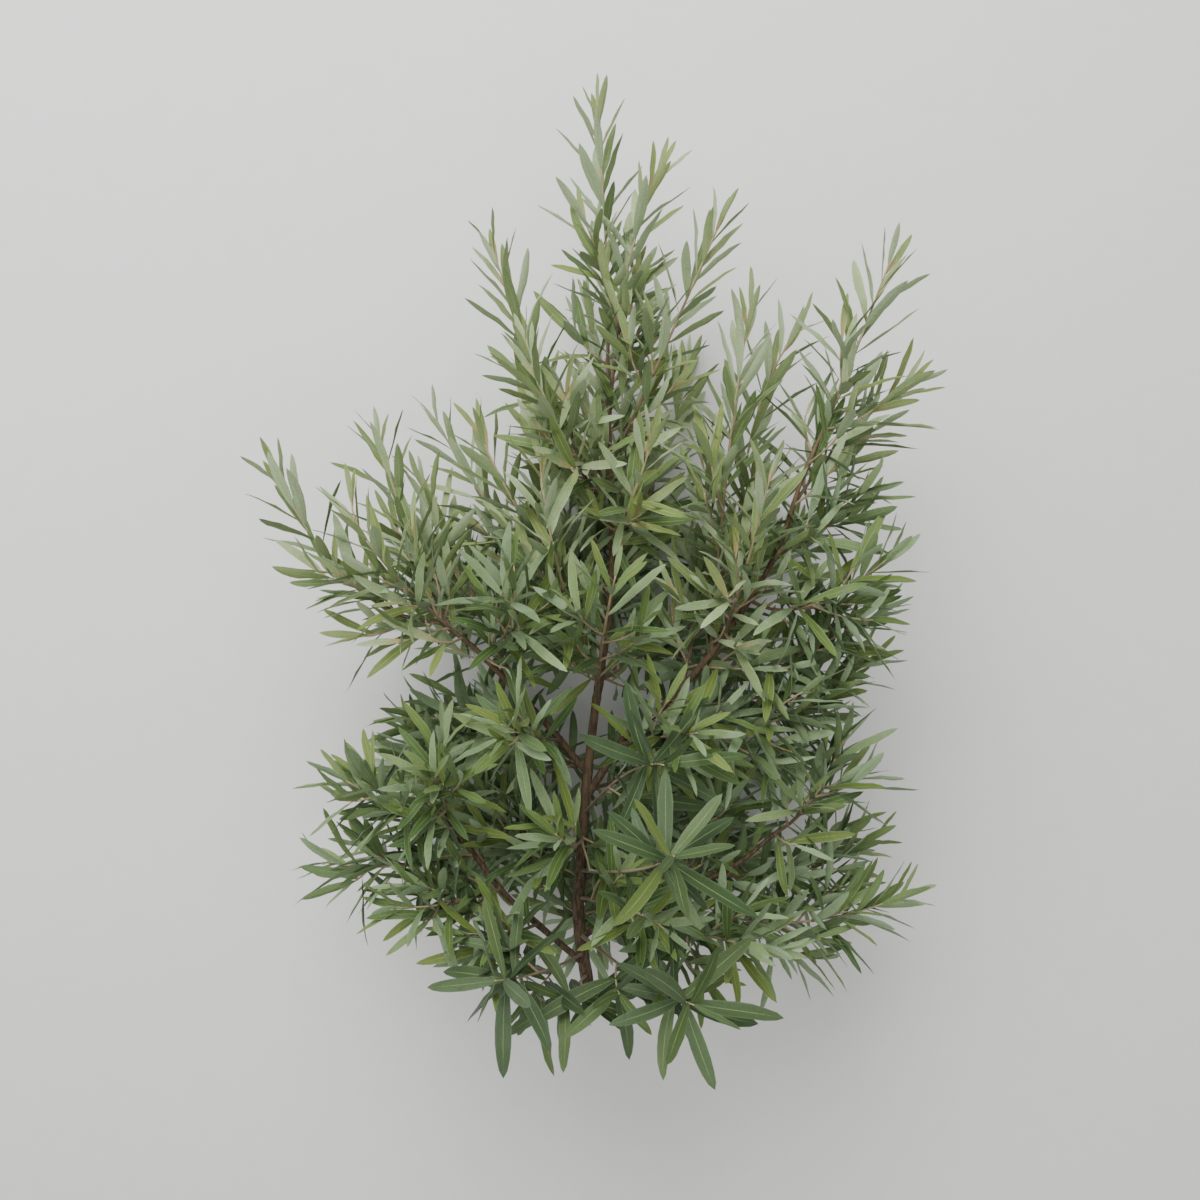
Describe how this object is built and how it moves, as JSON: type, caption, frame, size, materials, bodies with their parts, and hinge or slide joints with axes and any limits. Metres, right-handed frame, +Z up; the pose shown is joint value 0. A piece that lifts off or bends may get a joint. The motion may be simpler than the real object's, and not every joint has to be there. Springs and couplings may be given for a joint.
{
  "type": "cut young sea buckthorn plant",
  "caption": "Young sea buckthorn cut at the ground and lying on its side: a slim woody stem with branches and narrow silvery leaves on slender twigs.",
  "frame": {"origin": "centre of the lying plant's overall box, on the surface it lies on", "axes": "+Y along the stem from the cut foot to the leading tip, +Z up from the surface, +X to the plant's right as seen from above"},
  "size_m": [0.6086, 0.859, 0.4113],
  "materials": {
    "bark": "matte",
    "young_leaf": "satin",
    "leaf": "satin",
    "low_leaf": "satin"
  },
  "bodies": {
    "root": {"woody_frame": "bark", "leader_shoot": "young_leaf", "right_of_leader_shoot": "young_leaf", "upper_right_shoot": "young_leaf", "upper_left_shoot": "young_leaf", "upper_left_front_shoot": "young_leaf", "top_front_shoot": "young_leaf", "right_tall_shoot": "young_leaf", "right_inner_shoot": "young_leaf", "right_high_shoot": "young_leaf", "right_fork_shoot": "young_leaf", "right_middle_shoot": "leaf", "right_wide_shoot": "leaf", "right_low_wide_shoot": "leaf", "right_under_shoot": "leaf", "right_foot_shoot": "leaf", "right_centre_shoot": "young_leaf", "right_front_shoot": "young_leaf", "low_right_tip_shoot": "leaf", "low_right_far_shoot": "leaf", "low_right_mid_shoot": "leaf", "low_right_front_shoot": "leaf", "low_right_inner_shoot": "leaf", "front_rosette_shoot": "low_leaf", "low_front_rosette_shoot": "low_leaf", "left_front_rosette_shoot": "low_leaf", "foot_front_shoot": "low_leaf", "centre_front_shoot": "leaf", "left_tip_shoot": "young_leaf", "left_rear_shoot": "young_leaf", "left_twig_shoot": "young_leaf", "left_front_shoot": "leaf", "upper_left_low_shoot": "young_leaf", "upper_left_wide_shoot": "young_leaf", "left_centre_shoot": "young_leaf", "left_limb_top_shoot": "young_leaf", "low_left_tip_shoot": "leaf", "low_left_up_shoot": "leaf", "low_left_flat_shoot": "leaf", "low_left_front_shoot": "leaf", "low_left_inner_shoot": "leaf", "low_left_rear_shoot": "leaf", "low_centre_left_shoot": "leaf", "mid_left_flat_shoot": "leaf", "mid_left_front_shoot": "leaf", "mid_right_front_shoot": "leaf", "centre_low_front_shoot": "leaf", "left_mid_front_shoot": "leaf", "low_centre_front_shoot": "leaf", "back_top_shoot": "young_leaf", "back_upper_left_shoot": "young_leaf", "back_upper_right_shoot": "young_leaf", "back_left_shoot": "leaf", "back_right_shoot": "leaf", "back_centre_shoot": "leaf", "back_mid_left_shoot": "leaf", "back_mid_right_shoot": "leaf", "back_low_left_shoot": "leaf", "back_low_right_shoot": "leaf", "back_foot_shoot": "leaf"}
  },
  "joints": []
}
